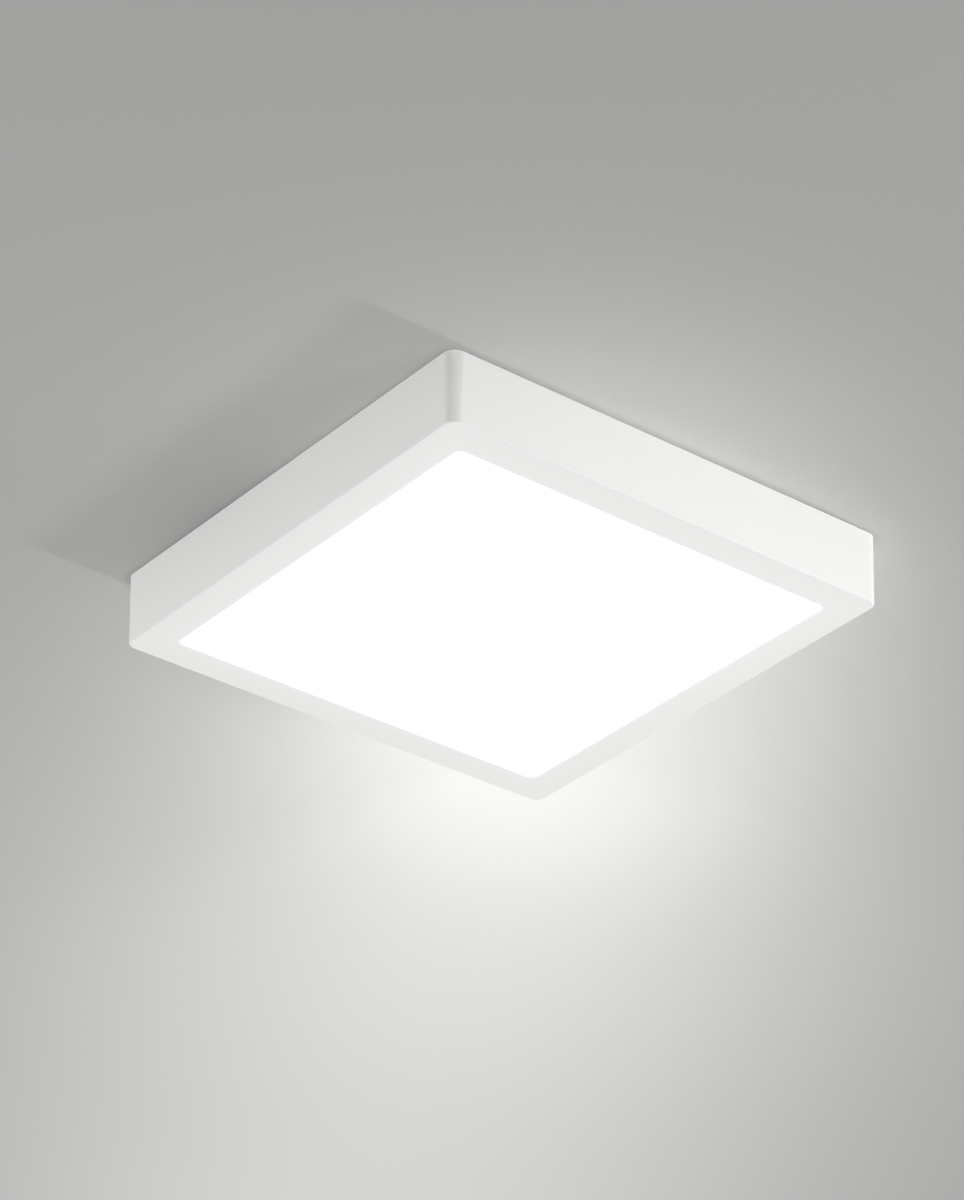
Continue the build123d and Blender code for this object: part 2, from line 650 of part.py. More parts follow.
def input_lane(index):
    """Corner of an input wire's lane, along the south board and then along the west board."""
    place = LANE_INSET + (1 - index) * LANE_PITCH - ring_inner
    return place, place


def input_wire(index):
    """From one of the terminal's poles around to the driver's input end, in its own lane."""
    x_end, y_end = driver_port(2 * index - 1)
    x_lane, y_lane = input_lane(index)
    return wire(
        (poles[index], factory_y + WIRE_SOCKET),
        (poles[index], y_lane),
        (x_lane, y_lane),
        (x_lane, y_end),
        (x_end + WIRE_SOCKET, y_end),
    )


def earth_wire():
    """From the terminal's third pole to the crimp on the earth tab."""
    return wire(
        (poles[2], factory_y + WIRE_SOCKET),
        (poles[2], earth_y),
        (EARTH_OFFSET - crimp_end() + WIRE_SOCKET, earth_y),
    )


def led_lead():
    """Flat twin lead, on edge, from the driver's output end to the connector on the north board."""
    route = (
        (DRIVER_LENGTH / 2 - WIRE_SOCKET, driver_y),
        (plug_x(), driver_y),
        (plug_x(), plug_y() - PLUG_WIDTH / 2),
    )
    path = bent(route, lead_height)
    section = Plane(path @ 0, x_dir=(0, 0, 1), z_dir=path % 0) * Rectangle(LEAD_WIDTH, LEAD_THICKNESS)
    return sweep(section, path=path)


def wire_clips():
    """Saddles on the pan that hold the two input wires in their lanes."""
    width = LANE_PITCH + 2 * WIRE + 2 * WIRE_CLIP_WALL
    groove_width = 2 * (WIRE + WIRE_FIT)
    saddle = plate(width, WIRE_CLIP_LENGTH, WIRE_HEIGHT + WIRE)
    groove = plate(groove_width, WIRE_CLIP_LENGTH, 2 * WIRE + WIRE_FIT, WIRE_HEIGHT - WIRE - WIRE_FIT)
    saddle -= [Pos(x, 0, 0) * groove for x in (-LANE_PITCH / 2, LANE_PITCH / 2)]
    x_lane, y_lane = input_lane(0.5)
    beside_driver = on_floor(x_lane, (y_lane + driver_y) / 2) * saddle
    past_terminal = on_floor((x_lane + poles[0]) / 2, y_lane) * Rot(0, 0, 90) * saddle
    return [beside_driver, past_terminal]


pieces = {
    "ceiling_gasket": ceiling_gasket(),
    "base_pan": base_pan(),
    "screw_seals": screw_seals(),
    "cable_grommet": cable_grommet(),
    "catch_plates": catch_plates(),
    "rim_seal": rim_seal(),
    "board_links": board_links(),
    "led_plug": led_plug(),
    "board_screws": board_screws(),
    "driver_base": driver_base(),
    "driver_lid": driver_lid(),
    "driver_screws": driver_screws(),
    "terminal_block": terminal_block(),
    "terminal_contacts": terminal_contacts(),
    "terminal_screws": terminal_screws(),
    "lever_live": lever(poles[0]),
    "lever_neutral": lever(poles[1]),
    "lever_earth": lever(poles[2]),
    "earth_tab": earth_tab(),
    "earth_receptacle": earth_receptacle(),
    "live_wire": input_wire(0),
    "neutral_wire": input_wire(1),
    "earth_wire": earth_wire(),
    "led_lead": led_lead(),
    "wire_clips": wire_clips(),
    "cover_frame": cover_frame(),
    "diffuser": diffuser(),
    "diffuser_gasket": diffuser_gasket(),
    "diffuser_clips": diffuser_clips(),
    "diffuser_clip_screws": diffuser_clip_screws(),
    "spring_clips": spring_clips(),
    "spring_clip_rivets": spring_clip_rivets(),
}
for side, name in enumerate(SIDES):
    pieces["led_board_" + name] = board_place(side) * led_board()
    pieces["led_chips_" + name] = [board_place(side) * chip for chip in led_chips()]

os.makedirs("parts", exist_ok=True)
for name, piece in pieces.items():
    shape = Compound(children=piece) if isinstance(piece, list) else piece
    export_step(shape, "parts/" + name + ".step")
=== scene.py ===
"""Square outdoor ceiling light: the finishes, the fine pieces, the stage and the camera.

Metres, +Z up into the ceiling. The origin is the middle of the ceiling plane, and the light hangs below it.
"""

import bpy
import numpy as np
from mathutils import Matrix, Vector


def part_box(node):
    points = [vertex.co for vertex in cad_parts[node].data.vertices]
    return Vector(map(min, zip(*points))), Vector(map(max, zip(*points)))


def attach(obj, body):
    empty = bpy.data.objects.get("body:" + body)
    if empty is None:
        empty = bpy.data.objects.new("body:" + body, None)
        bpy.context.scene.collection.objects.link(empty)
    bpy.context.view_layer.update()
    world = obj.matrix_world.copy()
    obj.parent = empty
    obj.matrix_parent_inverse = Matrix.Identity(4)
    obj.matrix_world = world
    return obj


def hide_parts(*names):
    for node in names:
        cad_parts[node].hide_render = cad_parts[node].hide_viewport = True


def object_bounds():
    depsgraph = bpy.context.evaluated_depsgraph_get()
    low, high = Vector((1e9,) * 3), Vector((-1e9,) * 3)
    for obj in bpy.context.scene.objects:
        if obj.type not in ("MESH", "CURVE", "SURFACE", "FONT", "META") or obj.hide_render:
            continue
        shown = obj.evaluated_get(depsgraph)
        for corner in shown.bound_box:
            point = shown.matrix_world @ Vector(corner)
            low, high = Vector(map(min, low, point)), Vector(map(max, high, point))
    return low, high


bl_info = {
    "name": "Square Ceiling Light",
    "version": (1, 0, 0),
    "blender": (4, 5, 0),
    "location": "3D View > Sidebar > Ceiling Light",
    "description": "Dresses the square outdoor ceiling light and sets its stage",
    "category": "Object",
}

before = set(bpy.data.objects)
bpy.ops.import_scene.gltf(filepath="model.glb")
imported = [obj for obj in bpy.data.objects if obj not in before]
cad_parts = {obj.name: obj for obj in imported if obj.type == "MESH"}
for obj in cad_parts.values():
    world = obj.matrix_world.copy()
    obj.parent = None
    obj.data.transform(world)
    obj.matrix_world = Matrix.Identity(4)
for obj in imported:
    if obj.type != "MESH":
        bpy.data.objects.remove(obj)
cad_low, cad_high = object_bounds()

MM = 0.001
SMOOTH_ANGLE = np.radians(38.0)

# Screws: pan head, cross recess and thread
SCREW_SIDES = 40
HEAD_RADIUS = 2.8 * MM
HEAD_HEIGHT = 1.8 * MM
HEAD_TRIM = 0.98  # rim of the head, as a share of its radius
HEAD_RINGS = (0.04, *np.linspace(0.1, 0.7, 9), 0.78, 0.86, 0.92, 0.965, 0.99, 1.0)
CROWN_POWERS = (4.0, 0.45)
CROSS_HALF = 0.52 * MM
CROSS_SLOPE = 0.2 * MM
CROSS_REACH = 1.75 * MM
CROSS_END = 0.3 * MM
CROSS_DEPTH = 1.1 * MM
SHANK = 1.5 * MM
CLIP_SHANK = 1.25 * MM
THREAD_PITCH = 0.7 * MM
THREAD_DEPTH = 0.16 * MM
THREAD_STEPS = 5  # rings on each turn
THREAD_LEAST = 8  # rings on the shortest shank
TIP_LENGTH = 0.8 * MM
TIP_SHARE = 0.65
BOARD_SCREW_MARGIN = 36.0 * MM
BOARD_SCREW_OFFSET = 6.0 * MM

# Rivets
RIVET_SIDES = 32
RIVET_RADIUS = 2.5 * MM
RIVET_HEIGHT = 1.25 * MM
RIVET_RINGS = np.linspace(0.05, 1.0, 9)

# Wires
WIRE = 1.1 * MM
WIRE_FLAT = WIRE * np.cos(np.pi / 6)  # half width of the six-sided wire in the solids
WIRE_SIDES = 20
WIRE_BEND = 9.0 * MM
WIRE_BEND_STEPS = 13
WIRE_SOCKET = 5.0 * MM
STRIPE_EDGE = (0.45 * WIRE, 0.35 * WIRE)
POLE_PITCH = 8.0 * MM
LEAD_CORE = 0.9 * MM
LEAD_HALF = 1.9 * MM
LEAD_WEB = 0.45  # web's half thickness, as a share of a core's radius
LEAD_SIDES = 36

# LEDs, as rings from the foot to the middle of the face: outline, share of it, share of the height
LED_COUNT = 10
LED_SIDES = 24
LED_HALF = (1.75 * MM, 1.4 * MM)
LED_FACE = 1.15 * MM
LED_HEIGHT = 0.8 * MM
LED_RINGS = (
    ("package", 1.0, 0.0),
    ("package", 1.0, 0.68),
    ("package", 0.97, 0.98),
    ("face", 1.04, 1.0),
    ("face", 0.94, 0.84),
    ("face", 0.5, 0.88),
    ("face", 0.1, 0.9),
)
LED_FACE_ROW = 4  # first row of the phosphor

# Traces on the boards, by the plan distance beyond a square of the first length as its half width
BOARD_CORE = 70.0 * MM
TRACE_OFFSET = 2.6 * MM
TRACE_EDGE = (0.84 * MM, 0.63 * MM)
TRACE_SHARE = 0.14

# Cover, from the middle out to where its corners begin to round
UNDERSIDE_CORE = 142.358 * MM
UNDERSIDE_CORNER = 6.5 * MM
WINDOW_CORE = 123.358 * MM
WINDOW_CORNER = 3.5 * MM

# Painted shade and painted light on the powder coat: where each begins and ends, and how strong it is
# Painted shade along the lower outer round, where the sides turn into the underside
EDGE_SHADE = (0.95 * MM, 0.3 * MM)
EDGE_SHADE_SHARE = 0.11
# Painted shade on the sides, darker towards the ceiling
CEILING_SHADE_START = 2.0 * MM
CEILING_SHADE_SHARE = 0.06
RIM_LIGHT = 2.6 * MM
RIM_LIGHT_SHARE = 0.18
BORDER_LIGHT = 20.0 * MM
BORDER_LIGHT_SHARE = 0.02
BORDER_LEVEL = (2.4 * MM, 1.5 * MM)
PANE_LEVEL = (2.0 * MM, 1.2 * MM)

# Colours of the small pieces
FOAM = (0.1, 0.1, 0.105)
SILICONE = (0.72, 0.72, 0.7)
RUBBER = (0.022, 0.022, 0.023)
NYLON = (0.8, 0.78, 0.7)
LED_PACKAGE = (0.86, 0.85, 0.8)
LED_LIGHT = (1.0, 0.9, 0.68, 1.0)
CATCH_STEEL = (0.56, 0.56, 0.56)
SPRING_STEEL = (0.6, 0.6, 0.59)
CLIP_STEEL = (0.58, 0.58, 0.57)
RIVET_STEEL = (0.6, 0.6, 0.6)
ZINC = (0.62, 0.62, 0.6)
BRASS = (0.72, 0.66, 0.5)
TIN = (0.66, 0.64, 0.6)
COPPER = (0.8, 0.42, 0.24)

# Ceiling: the opening's gap round the gasket, its rings, and where it fades out
GASKET_CORNER = 10.0 * MM
CEILING_GAP = 0.3 * MM
CEILING_CORNER_STEPS = 9
CEILING_REACH = (0.3, 0.7, 1.35)
CEILING_FADE = (1.02, 1.32)
CEILING_WHITE = 0.95
CEILING_BLUE = 0.985

# Glows and shades on the ceiling, as (across, along) the camera's heading: middle, reach and height
CEILING_GLOWS = (
    ((0.0, 0.446, 0.0), (0.25, 0.347, 1.0), 0.232),
    ((-0.14, 1.8, 0.0), (0.392, 1.246, 1.0), 0.632),
    ((0.03, 0.11, 0.0), (0.145, 0.217, 1.0), 0.91),
    ((0.043, 0.117, 0.0), (0.114, 0.156, 1.0), -0.6),
    ((-0.104, 0.033, 0.0), (0.062, 0.09, 1.0), -0.6),
)

# Lamps: place, and size across and up
LAMPS = {
    "side_lamp": ((1.72, 0.0, -1.3), (0.1, 0.5)),
    "front_lamp": ((0.46, -1.3, -0.14), (0.5, 0.2)),
    "fill_lamp": ((-1.35, 0.24, -0.16), (0.5, 0.24)),
    "floor_lamp": ((-0.15, -0.2, -3.0), (0.8, 0.8)),
}
LAMP_TARGET = np.array([0.0, 0.0, -0.02])

# Surroundings: their colour, what the camera sees of them, and the side that gives less light
WORLD_COLOR = (1.0, 1.0, 0.99, 1.0)
BACKDROP = 0.78
DIM_SIDE = (-0.566, -0.424, -0.707)
DIM_RANGE = (0.3, 0.75)
DIM_SHARE = 0.92

# Grain: how wide its clouds are beside the fine noise, and each one's part in the tone
CLOUD_SCALE = 0.02
FINE_PART = 0.4
CLOUD_PART = 0.6

SIDES = ("north", "west", "south", "east")
LEVERS = ("lever_live", "lever_neutral", "lever_earth")


def colour(name, note, value):
    """Colour setting."""
    return bpy.props.FloatVectorProperty(
        name=name, description=note, subtype="COLOR", size=3, min=0.0, max=1.0, default=value
    )


def number(name, note, value, **limits):
    """Number setting."""
    return bpy.props.FloatProperty(name=name, description=note, default=value, **limits)


class CoverSettings(bpy.types.PropertyGroup):
    """Finish of the cast frame and of the opal dish."""

    powder: colour("Powder coat", "Colour of the cast frame", (0.82, 0.818, 0.81))
    powder_roughness: number(
        "Sheen", "Roughness of the powder coat", 0.42, min=0.0, max=1.0, subtype="FACTOR"
    )
    grain: number("Grain", "Size of the powder coat's grain", 0.0011, unit="LENGTH")
    opal: colour("Opal", "Colour of the dish", (0.94, 0.94, 0.935))
    glow: number("Glow", "Strength of the lit dish", 1.05, min=0.0)


class InsideSettings(bpy.types.PropertyGroup):
    """Finishes of what the cover hides."""

    pan: colour("Pan", "Paint of the pan", (0.8, 0.8, 0.79))
    board: colour("Boards", "Solder mask of the LED boards", (0.86, 0.86, 0.84))
    phosphor: colour("Phosphor", "Face of the LEDs", (0.93, 0.72, 0.2))
    driver: colour("Driver", "Case of the driver", (0.78, 0.78, 0.76))
    terminal: colour("Terminal", "Housing of the terminal", (0.5, 0.51, 0.52))
    lever: colour("Levers", "Levers of the terminal", (0.06, 0.065, 0.075))
    live: colour("Live wire", "Insulation of the live wire", (0.11, 0.04, 0.018))
    neutral: colour("Neutral wire", "Insulation of the neutral wire", (0.02, 0.08, 0.33))
    earth: colour("Earth wire", "Insulation of the earth wire", (0.06, 0.28, 0.03))
    stripe: colour("Earth stripe", "Stripe along the earth wire", (0.75, 0.55, 0.02))
    lead: colour("Twin lead", "Insulation of the lead to the boards", (0.75, 0.75, 0.73))


class StageSettings(bpy.types.PropertyGroup):
    """Ceiling, lamps and camera."""

    lens: number("Lens", "Focal length", 126.33, unit="CAMERA")
    distance: number("Distance", "Camera to origin", 2.3576, unit="LENGTH")
    azimuth: number("Azimuth", "Side that the camera stands on", np.radians(-38.397), subtype="ANGLE")
    elevation: number("Elevation", "Camera above the horizon", np.radians(-31.288), subtype="ANGLE")
    pitch: number("Pitch", "Upward tilt of the camera", 0.53597, subtype="ANGLE")
    swing: number("Swing", "Turn of the camera away from the origin", 0.00455, subtype="ANGLE")
    roll: number("Roll", "Roll of the camera", 0.00668, subtype="ANGLE")
    ceiling: number("Ceiling", "Grey of the ceiling away from the light", 0.331, min=0.0, max=1.0)
    world: number("World", "Strength of the soft light all round", 0.8)
    side_lamp: number("Side lamp", "Power of the lamp that throws the shadow", 11.0, subtype="POWER")
    front_lamp: number("Front lamp", "Power of the lamp on the right face", 11.5, subtype="POWER")
    fill_lamp: number("Fill lamp", "Power of the lamp on the left face", 8.25, subtype="POWER")
    floor_lamp: number("Floor lamp", "Power of the lamp on the underside", 31.5, subtype="POWER")


# Surfaces

def grid_quads(rows, columns):
    """Quads between neighbouring points of a grid that is stored row by row, each row closed on itself."""
    row, column = np.meshgrid(np.arange(rows - 1), np.arange(columns), indexing="ij")
    after = (column + 1) % columns
    start, end = row * columns, (row + 1) * columns
    return np.stack((start + column, start + after, end + after, end + column), -1).reshape(-1, 4)


def closed_grid(points):
    """Rows of closed rings as a solid: quads between the rings, and a flat cap on the first and the last."""
    rows, columns = points.shape[:2]
    quads = grid_quads(rows, columns).tolist()
    first = np.arange(columns)[::-1]
    last = np.arange(columns) + (rows - 1) * columns
    return points.reshape(-1, 3), quads + [first.tolist(), last.tolist()]


def repeated(shape, turn, shifts):
    """The shape at several places: each point is turned by a 3 by 3 matrix and then shifted."""
    points, faces = shape
    moved = (points @ np.asarray(turn).T)[None] + np.asarray(shifts, float)[:, None]
    count = len(points)
    copies = [[index + copy * count for index in face] for copy in range(len(moved)) for face in faces]
    return moved.reshape(-1, 3), copies


def make_piece(name, shape, materials, body, nodes, parts=None):
    """Mesh object from points and faces, facing outwards, that rides on a body and stands for its nodes."""
    points, faces = shape
    mesh = bpy.data.meshes.new(name)
    mesh.from_pydata(points.tolist(), [], faces)
    for material in materials:
        mesh.materials.append(material)
    if parts is not None:
        mesh.polygons.foreach_set("material_index", parts)
    mesh.shade_smooth()
    mesh.set_sharp_from_angle(angle=SMOOTH_ANGLE)
    mesh.update()
    piece = bpy.data.objects.new(name, mesh)
    bpy.context.scene.collection.objects.link(piece)
    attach(piece, body)
    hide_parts(*nodes)


def smoothstep(value):
    """Rises from 0 to 1 as the value goes from 0 to 1, level at both ends."""
    bounded = np.clip(value, 0.0, 1.0)
    return bounded * bounded * (3.0 - 2.0 * bounded)


def ring_angles(count):
    """Angles round a full circle."""
    return np.arange(count) * 2.0 * np.pi / count


def unit_circle(count):
    """Points round a circle of radius 1."""
    angle = ring_angles(count)
    return np.stack([np.cos(angle), np.sin(angle)], -1)


def screw_shape(shank, length):
    """Pan-head screw with a cross recess, its seat at z = 0 and its shank below.

    The head is a superellipse of height over radius, lowered in the cross, where the smaller of |x| and |y|
    is under the cross's half width. The rim of the recess is a smooth step.
    The shank's radius is a triangle wave of height and angle together, which is a helical thread.
    """
    angle = ring_angles(SCREW_SIDES)
    share, turn = np.meshgrid(HEAD_RINGS, angle, indexing="ij")
    radius = share * HEAD_RADIUS * HEAD_TRIM
    x, y = radius * np.cos(turn), radius * np.sin(turn)
    inner, outer = CROWN_POWERS
    crown = HEAD_HEIGHT * (1.0 - share**inner) ** outer
    arm = smoothstep((CROSS_HALF - np.minimum(abs(x), abs(y))) / CROSS_SLOPE)
    reach = smoothstep((CROSS_REACH - radius) / CROSS_END)
    head = np.stack([x, y, crown - CROSS_DEPTH * arm * reach], -1)

    rings = max(THREAD_LEAST, int(THREAD_STEPS * length / THREAD_PITCH))
    level, turn = np.meshgrid(np.linspace(0.0, -length, rings), angle, indexing="ij")
    wave = abs((level / THREAD_PITCH + turn / (2.0 * np.pi)) % 1.0 - 0.5) * 2.0
    tip = smoothstep((level + length) / TIP_LENGTH) * (1.0 - TIP_SHARE) + TIP_SHARE
    body = (shank - THREAD_DEPTH * wave) * tip
    thread = np.stack([body * np.cos(turn), body * np.sin(turn), level], -1)
    return closed_grid(np.concatenate([head, thread])[:, ::-1])


def rivet_shape(length):
    """Domed rivet, its seat at z = 0: an ellipse of height over radius on a plain shank."""
    share = np.sin(RIVET_RINGS * np.pi / 2)
    head = np.stack([RIVET_RADIUS * share, RIVET_HEIGHT * np.sqrt(1.0 - share**2)], -1)
    shank = np.array([[CLIP_SHANK, 0.0], [CLIP_SHANK, -length]])
    profile = np.concatenate([head, shank])
    plan = profile[:, None, :1] * unit_circle(RIVET_SIDES)
    level = np.broadcast_to(profile[:, None, 1:], plan.shape[:2] + (1,))
    return closed_grid(np.concatenate([plan, level], -1)[:, ::-1])


def led_shape():
    """LED package: rings that go from a rectangle at the foot to a circle round the sunk phosphor face."""
    circle = unit_circle(LED_SIDES)
    outlines = {
        "package": circle / abs(circle).max(1, keepdims=True) * np.array(LED_HALF),
        "face": circle * LED_FACE,
    }
    rings = [
        np.column_stack([outlines[form] * share, np.full(LED_SIDES, level * LED_HEIGHT)])
        for form, share, level in LED_RINGS
    ]
    return closed_grid(np.array(rings))


def level_path(corners, bend):
    """Plan path of straight runs joined by arcs of one radius, as an array of (x, y) points."""
    corners = np.array(corners)
    quarter = np.linspace(0.0, np.pi / 2, WIRE_BEND_STEPS)[:, None]
    path = [corners[:1]]
    for before, corner, after in zip(corners, corners[1:], corners[2:]):
        to_start = (before - corner) / np.linalg.norm(before - corner)
        to_end = (after - corner) / np.linalg.norm(after - corner)
        centre = corner + bend * (to_start + to_end)
        path.append(centre - bend * (np.cos(quarter) * to_end + np.sin(quarter) * to_start))
    path.append(corners[-1:])
    return np.concatenate(path)


def wire_shape(corners, level, section):
    """A section of (across, up) points carried along a level path, square to the path at each point."""
    path = level_path(corners, WIRE_BEND)
    along = np.gradient(path, axis=0)
    along /= np.linalg.norm(along, axis=1, keepdims=True)
    across = np.stack([-along[:, 1], along[:, 0]], -1)
    plan = path[:, None] + across[:, None] * section[None, :, :1]
    height = np.broadcast_to(level + section[None, :, 1:], plan.shape[:2] + (1,))
    return closed_grid(np.concatenate([plan, height], -1))


def twin_section():
    """Two round cores, one above the other, with a thin web between them, as (across, up) points."""
    angle = ring_angles(LEAD_SIDES)
    up = LEAD_HALF * np.sin(angle)
    from_core = abs(up) - (LEAD_HALF - LEAD_CORE)
    core = np.sqrt(np.clip(LEAD_CORE**2 - from_core**2, 0.0, None))
    across = np.where(from_core > 0.0, core, np.maximum(core, LEAD_WEB * LEAD_CORE))
    return np.stack([across * np.sign(np.cos(angle)), up], -1)


# Finishes

def feed(tree, socket, value):
    """Links a socket's value, or sets a plain one."""
    if isinstance(value, bpy.types.NodeSocket):
        tree.links.new(value, socket)
    else:
        socket.default_value = value


def node(tree, kind, **values):
    """Node with its named inputs fed."""
    made = tree.nodes.new(kind)
    for label, value in values.items():
        feed(tree, made.inputs[label.replace("_", " ")], value)
    return made


def calculate(tree, operation, *values):
    """Math node's result."""
    made = tree.nodes.new("ShaderNodeMath")
    made.operation = operation
    for socket, value in zip(made.inputs, values):
        feed(tree, socket, value)
    return made.outputs[0]


def calculate_vector(tree, operation, *values):
    """Vector Math node's result: a number for a length or a dot product, and otherwise a vector."""
    made = tree.nodes.new("ShaderNodeVectorMath")
    made.operation = operation
    for socket, value in zip(made.inputs, values):
        feed(tree, socket, value)
    return made.outputs["Value" if operation in ("LENGTH", "DOT_PRODUCT") else "Vector"]


def smooth_range(tree, value, start, end):
    """0 at the start and 1 at the end, with a smooth rise between them."""
    made = node(tree, "ShaderNodeMapRange", Value=value, From_Min=start, From_Max=end)
    made.interpolation_type = "SMOOTHSTEP"
    return made.outputs["Result"]


def coordinates(tree, kind="Object"):
    """Texture coordinates of a kind."""
    return tree.nodes.new("ShaderNodeTexCoord").outputs[kind]


def grey(tree, value, blue):
    """Colour of one value, with a blue part of its own."""
    made = tree.nodes.new("ShaderNodeCombineColor")
    feed(tree, made.inputs["Red"], value)
    feed(tree, made.inputs["Green"], value)
    feed(tree, made.inputs["Blue"], blue)
    return made.outputs["Color"]


def effect(name, inputs, outputs):
    """Empty shader node group with named sockets, and its two end nodes."""
    group = bpy.data.node_groups.new(name, "ShaderNodeTree")
    for label, kind, value in inputs:
        group.interface.new_socket(label, in_out="INPUT", socket_type=kind).default_value = value
    for label, kind in outputs:
        group.interface.new_socket(label, in_out="OUTPUT", socket_type=kind)
    return group, group.nodes.new("NodeGroupInput"), group.nodes.new("NodeGroupOutput")


def placed(tree, group, **values):
    """An effect in a material, with its named inputs fed."""
    made = tree.nodes.new("ShaderNodeGroup")
    made.node_tree = group
    for label, value in values.items():
        feed(tree, made.inputs[label], value)
    return made


SURFACE_INPUTS = (
    ("Color", "NodeSocketColor", (0.8, 0.8, 0.8, 1.0)),
    ("Stretch", "NodeSocketVector", (1000.0, 1000.0, 1000.0)),
    ("Tone", "NodeSocketFloat", 0.04),
    ("Roughness", "NodeSocketFloat", 0.5),
    ("Spread", "NodeSocketFloat", 0.1),
)
SURFACE_OUTPUTS = (
    ("Color", "NodeSocketColor"),
    ("Roughness", "NodeSocketFloat"),
    ("Height", "NodeSocketFloat"),
)


def grain_effect():
    """Grain: a fine noise gives height and roughness, and it shifts the tone with clouds fifty times as wide.

    The tone is 1 plus the part of both noises above their middle, times the tone's strength.
    """
    found = bpy.data.node_groups.get("surface_grain")
    if found:
        return found
    group, start, end = effect("surface_grain", SURFACE_INPUTS, SURFACE_OUTPUTS)
    scaled = calculate_vector(group, "MULTIPLY", coordinates(group), start.outputs["Stretch"])
    fine = node(group, "ShaderNodeTexNoise", Vector=scaled, Scale=1.0, Detail=3.0).outputs["Fac"]
    cloud = node(group, "ShaderNodeTexNoise", Vector=scaled, Scale=CLOUD_SCALE, Detail=2.0).outputs["Fac"]
    both = calculate(
        group,
        "ADD",
        calculate(group, "MULTIPLY", fine, FINE_PART),
        calculate(group, "MULTIPLY", cloud, CLOUD_PART),
    )
    shift = calculate(group, "MULTIPLY", calculate(group, "SUBTRACT", both, 0.5), start.outputs["Tone"])
    value = calculate(group, "ADD", shift, 1.0)
    toned = node(group, "ShaderNodeHueSaturation", Color=start.outputs["Color"], Value=value)
    wide = calculate(group, "MULTIPLY", calculate(group, "SUBTRACT", fine, 0.5), start.outputs["Spread"])
    feed(group, end.inputs["Color"], toned.outputs["Color"])
    feed(group, end.inputs["Roughness"], calculate(group, "ADD", start.outputs["Roughness"], wide))
    feed(group, end.inputs["Height"], fine)
    return group


def outline_effect():
    """Plan distance from a square: the length of what |x| and |y| have beyond its half width."""
    found = bpy.data.node_groups.get("square_outline")
    if found:
        return found
    group, start, end = effect(
        "square_outline", (("Core", "NodeSocketFloat", 0.1),), (("Distance", "NodeSocketFloat"),)
    )
    flat = calculate_vector(group, "MULTIPLY", coordinates(group), (1.0, 1.0, 0.0))
    size = calculate_vector(group, "ABSOLUTE", flat)
    beyond = calculate_vector(group, "SUBTRACT", size, start.outputs["Core"])
    outside = calculate_vector(group, "MAXIMUM", beyond, (0.0, 0.0, 0.0))
    feed(group, end.inputs["Distance"], calculate_vector(group, "LENGTH", outside))
    return group


def glow_effect():
    """Glow on the ceiling: a bell curve of the distance from its middle, in shares of its reach each way."""
    found = bpy.data.node_groups.get("ceiling_glow")
    if found:
        return found
    group, start, end = effect(
        "ceiling_glow",
        (
            ("Vector", "NodeSocketVector", (0.0, 0.0, 0.0)),
            ("Middle", "NodeSocketVector", (0.0, 0.0, 0.0)),
            ("Reach", "NodeSocketVector", (1.0, 1.0, 1.0)),
            ("Height", "NodeSocketFloat", 1.0),
        ),
        (("Value", "NodeSocketFloat"),),
    )
    away = calculate_vector(group, "SUBTRACT", start.outputs["Vector"], start.outputs["Middle"])
    share = calculate_vector(group, "DIVIDE", away, start.outputs["Reach"])
    square = calculate_vector(group, "DOT_PRODUCT", share, share)
    bell = calculate(group, "EXPONENT", calculate(group, "MULTIPLY", square, -1.0))
    feed(group, end.inputs["Value"], calculate(group, "MULTIPLY", bell, start.outputs["Height"]))
    return group


def outline(tree, core):
    """Distance beyond a square of the given half width, for a material."""
    return placed(tree, outline_effect(), Core=core).outputs["Distance"]


def height_above(tree, level):
    """Height over a level, for a material."""
    parts = node(tree, "ShaderNodeSeparateXYZ", Vector=coordinates(tree))
    return calculate(tree, "SUBTRACT", parts.outputs["Z"], level)


def darken(material, mask, share):
    """Takes a share of the base colour away where the mask is 1."""
    tree = material.node_tree
    socket = tree.nodes["Principled BSDF"].inputs["Base Color"]
    kept = calculate(tree, "SUBTRACT", 1.0, calculate(tree, "MULTIPLY", mask, share))
    toned = node(tree, "ShaderNodeHueSaturation", Color=socket.links[0].from_socket, Value=kept)
    feed(tree, socket, toned.outputs["Color"])


def tint_over(material, mask, tint):
    """Puts a second colour over the base colour where the mask is 1."""
    tree = material.node_tree
    socket = tree.nodes["Principled BSDF"].inputs["Base Color"]
    blend = tree.nodes.new("ShaderNodeMix")
    blend.data_type = "RGBA"
    sockets = {found.identifier: found for found in (*blend.inputs, *blend.outputs)}
    feed(tree, sockets["Factor_Float"], mask)
    feed(tree, sockets["A_Color"], socket.links[0].from_socket)
    feed(tree, sockets["B_Color"], (*tint, 1.0))
    feed(tree, socket, sockets["Result_Color"])


def light_up(material, mask):
    """White emission by a mask."""
    tree = material.node_tree
    feed(tree, tree.nodes["Principled BSDF"].inputs["Emission Color"], grey(tree, mask, mask))


def finish(name, color, roughness, stretch=1000.0, tone=0.05, spread=0.1, bump=0.00002, **shader_values):
    """Material whose colour, roughness and relief come from the grain effect.

    The stretch is the number of grains in a metre, for all axes or for each. The bump is their height.
    """
    material = bpy.data.materials.new(name)
    material.use_nodes = True
    tree = material.node_tree
    shader = tree.nodes["Principled BSDF"]
    grain = placed(
        tree,
        grain_effect(),
        Color=(*color, 1.0),
        Stretch=stretch if isinstance(stretch, tuple) else (stretch,) * 3,
        Tone=tone,
        Roughness=roughness,
        Spread=spread,
    )
    relief = node(tree, "ShaderNodeBump", Strength=1.0, Distance=bump, Height=grain.outputs["Height"])
    feed(tree, shader.inputs["Base Color"], grain.outputs["Color"])
    feed(tree, shader.inputs["Roughness"], grain.outputs["Roughness"])
    feed(tree, shader.inputs["Normal"], relief.outputs["Normal"])
    for label, value in shader_values.items():
        shader.inputs[label.replace("_", " ")].default_value = value
    return material


